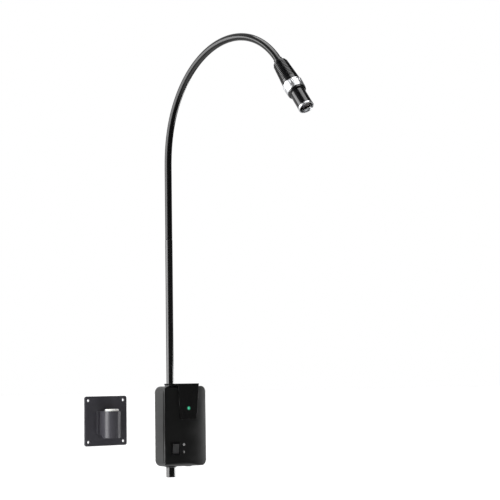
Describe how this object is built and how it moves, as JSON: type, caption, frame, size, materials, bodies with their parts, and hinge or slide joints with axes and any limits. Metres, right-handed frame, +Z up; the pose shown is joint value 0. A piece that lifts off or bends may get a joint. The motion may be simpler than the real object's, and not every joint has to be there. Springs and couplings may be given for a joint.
{
  "type": "gooseneck examination light",
  "caption": "Spot light on a long gooseneck over a slim control box with a sensor panel, rocker switch and plug-in spigot, with its square wall bracket.",
  "frame": {"origin": "middle of the spigot's lower end", "axes": "+Z up the spigot and tube, -Y out of the control box's face, +X to the right of the face"},
  "size_m": [0.2341, 0.3826, 0.7474],
  "materials": {
    "case_gloss": "glossy black moulded plastic",
    "panel_gloss": "glossy black panel",
    "window_green": "green lit window",
    "switch_plastic": "fine matt black plastic",
    "circuit_board": "green solder mask",
    "potting": "potted supply",
    "gland_rubber": "matt black",
    "spine_alloy": "milled",
    "screw_steel": "zinc plated",
    "post_black": "gloss black over steel",
    "neck_sheath": "smooth black sheath over a steel helix",
    "head_black": "black anodised",
    "barrel_black": "satin black anodised",
    "chrome": "polished",
    "lens_glass": "clear optical glass",
    "led_phosphor": "phosphor yellow",
    "led_star": "white solder mask over alloy",
    "reflector_mirror": "bright",
    "bracket_coat": "satin dark grey powder coat",
    "liner_white": "natural white"
  },
  "bodies": {
    "control_box": {"front_shell": "case_gloss", "rear_shell": "case_gloss", "case_screws": "screw_steel", "sensor_panel": "panel_gloss", "sensor_lens": "window_green", "sensor_board": "circuit_board", "switch_bezel": "switch_plastic", "switch_body": "switch_plastic", "main_board": "circuit_board", "led_driver": "potting", "cord_gland": "gland_rubber", "spine": "spine_alloy", "spine_screws": "screw_steel", "spine_bolts": "screw_steel", "spigot": "post_black", "bottom_collar": "switch_plastic", "top_collar": "switch_plastic", "rigid_tube": "post_black"},
    "rocker": {"rocker": "switch_plastic"},
    "neck_base": {"neck_base": "neck_sheath"},
    "neck_link_01": {"neck_link_01": "neck_sheath"},
    "neck_link_02": {"neck_link_02": "neck_sheath"},
    "neck_link_03": {"neck_link_03": "neck_sheath"},
    "neck_link_04": {"neck_link_04": "neck_sheath"},
    "neck_link_05": {"neck_link_05": "neck_sheath"},
    "neck_link_06": {"neck_link_06": "neck_sheath"},
    "neck_link_07": {"neck_link_07": "neck_sheath"},
    "neck_link_08": {"neck_link_08": "neck_sheath"},
    "neck_link_09": {"neck_link_09": "neck_sheath"},
    "neck_link_10": {"neck_link_10": "neck_sheath"},
    "neck_link_11": {"neck_link_11": "neck_sheath"},
    "neck_link_12": {"neck_link_12": "neck_sheath"},
    "neck_link_13": {"neck_link_13": "neck_sheath"},
    "neck_link_14": {"neck_link_14": "neck_sheath"},
    "neck_link_15": {"neck_link_15": "neck_sheath"},
    "lamp_head": {"head_stem": "neck_sheath", "head_ferrule": "head_black", "heat_sink": "head_black", "guide_tube": "barrel_black", "led_board": "led_star", "board_screws": "screw_steel", "led_emitter": "led_phosphor", "reflector": "reflector_mirror"},
    "focus_ring": {"focus_ring": "chrome"},
    "front_barrel": {"front_barrel": "barrel_black", "lens": "lens_glass", "lens_seal": "gland_rubber", "lens_bezel": "chrome"},
    "wall_bracket": {"wall_bracket": "bracket_coat", "socket_liner": "liner_white", "socket_screw": "screw_steel"}
  },
  "joints": [
    {"name": "rocker_tilt", "type": "hinge", "parent": "control_box", "child": "rocker", "pos_m": [0.0002, -0.0157, 0.0495], "axis": [1, 0, 0], "range_deg": [-16, 0]},
    {"name": "neck_swing", "type": "hinge", "parent": "control_box", "child": "neck_base", "pos_m": [0, 0, 0.413], "axis": [0, 0, 1], "range_deg": [-90, 90]},
    {"name": "lower_bend_1", "type": "hinge", "parent": "neck_base", "child": "neck_link_01", "pos_m": [0, 0, 0.493], "axis": [0.9829, 0.184, 0], "range_deg": [-9, 4]},
    {"name": "lower_bend_2", "type": "hinge", "parent": "neck_link_01", "child": "neck_link_02", "pos_m": [0, 0, 0.524], "axis": [0.9829, 0.184, 0], "range_deg": [-9, 4]},
    {"name": "lower_bend_3", "type": "hinge", "parent": "neck_link_02", "child": "neck_link_03", "pos_m": [0, 0, 0.555], "axis": [0.9829, 0.184, 0], "range_deg": [-9, 4]},
    {"name": "lower_bend_4", "type": "hinge", "parent": "neck_link_03", "child": "neck_link_04", "pos_m": [0.00051, -0.00274, 0.58587], "axis": [0.9829, 0.184, 0], "range_deg": [-9, 4]},
    {"name": "lower_bend_5", "type": "hinge", "parent": "neck_link_04", "child": "neck_link_05", "pos_m": [0.00179, -0.00955, 0.61609], "axis": [0.9829, 0.184, 0], "range_deg": [-9, 4]},
    {"name": "lower_bend_6", "type": "hinge", "parent": "neck_link_05", "child": "neck_link_06", "pos_m": [0.00389, -0.02078, 0.64491], "axis": [0.9829, 0.184, 0], "range_deg": [-9, 4]},
    {"name": "upper_bend_1", "type": "hinge", "parent": "neck_link_06", "child": "neck_link_07", "pos_m": [0.00683, -0.03647, 0.67148], "axis": [0.9829, 0.184, 0], "range_deg": [-14, 5]},
    {"name": "upper_bend_2", "type": "hinge", "parent": "neck_link_07", "child": "neck_link_08", "pos_m": [0.01056, -0.0564, 0.69493], "axis": [0.9829, 0.184, 0], "range_deg": [-14, 5]},
    {"name": "upper_bend_3", "type": "hinge", "parent": "neck_link_08", "child": "neck_link_09", "pos_m": [0.015, -0.08014, 0.71437], "axis": [0.9829, 0.184, 0], "range_deg": [-14, 5]},
    {"name": "upper_bend_4", "type": "hinge", "parent": "neck_link_09", "child": "neck_link_10", "pos_m": [0.02003, -0.107, 0.729], "axis": [0.9829, 0.184, 0], "range_deg": [-14, 5]},
    {"name": "upper_bend_5", "type": "hinge", "parent": "neck_link_10", "child": "neck_link_11", "pos_m": [0.02547, -0.13612, 0.73815], "axis": [0.9829, 0.184, 0], "range_deg": [-14, 5]},
    {"name": "upper_bend_6", "type": "hinge", "parent": "neck_link_11", "child": "neck_link_12", "pos_m": [0.03115, -0.16643, 0.74131], "axis": [0.9829, 0.184, 0], "range_deg": [-14, 5]},
    {"name": "upper_bend_7", "type": "hinge", "parent": "neck_link_12", "child": "neck_link_13", "pos_m": [0.03682, -0.19675, 0.73824], "axis": [0.9829, 0.184, 0], "range_deg": [-14, 5]},
    {"name": "upper_bend_8", "type": "hinge", "parent": "neck_link_13", "child": "neck_link_14", "pos_m": [0.04226, -0.22581, 0.72892], "axis": [0.9829, 0.184, 0], "range_deg": [-14, 5]},
    {"name": "upper_bend_9", "type": "hinge", "parent": "neck_link_14", "child": "neck_link_15", "pos_m": [0.04722, -0.25233, 0.71365], "axis": [0.9829, 0.184, 0], "range_deg": [-14, 5]},
    {"name": "head_aim", "type": "hinge", "parent": "neck_link_15", "child": "lamp_head", "pos_m": [0.05147, -0.27505, 0.693], "axis": [0.1492, -0.7972, 0.585], "range_deg": [-15, 15]},
    {"name": "focus_turn", "type": "hinge", "parent": "lamp_head", "child": "focus_ring", "pos_m": [0.05147, -0.27505, 0.693], "axis": [0.1076, -0.575, -0.811], "range_deg": [0, 150]},
    {"name": "focus_slide", "type": "slide", "parent": "lamp_head", "child": "front_barrel", "axis": [0.1076, -0.575, -0.811], "range_m": [0, 0.005]},
    {"name": "bracket_carry", "type": "slide", "parent": "control_box", "child": "wall_bracket", "axis": [0.6088, 0, -0.7933], "range_m": [0, 0.18429]}
  ],
  "couplings": [
    {"joint": "lower_bend_2", "follows": "lower_bend_1", "ratio": 1},
    {"joint": "lower_bend_3", "follows": "lower_bend_1", "ratio": 1},
    {"joint": "lower_bend_4", "follows": "lower_bend_1", "ratio": 1},
    {"joint": "lower_bend_5", "follows": "lower_bend_1", "ratio": 1},
    {"joint": "lower_bend_6", "follows": "lower_bend_1", "ratio": 1},
    {"joint": "upper_bend_2", "follows": "upper_bend_1", "ratio": 1},
    {"joint": "upper_bend_3", "follows": "upper_bend_1", "ratio": 1},
    {"joint": "upper_bend_4", "follows": "upper_bend_1", "ratio": 1},
    {"joint": "upper_bend_5", "follows": "upper_bend_1", "ratio": 1},
    {"joint": "upper_bend_6", "follows": "upper_bend_1", "ratio": 1},
    {"joint": "upper_bend_7", "follows": "upper_bend_1", "ratio": 1},
    {"joint": "upper_bend_8", "follows": "upper_bend_1", "ratio": 1},
    {"joint": "upper_bend_9", "follows": "upper_bend_1", "ratio": 1},
    {"joint": "focus_slide", "follows": "focus_turn", "m_per_rad": 0.0019099}
  ]
}
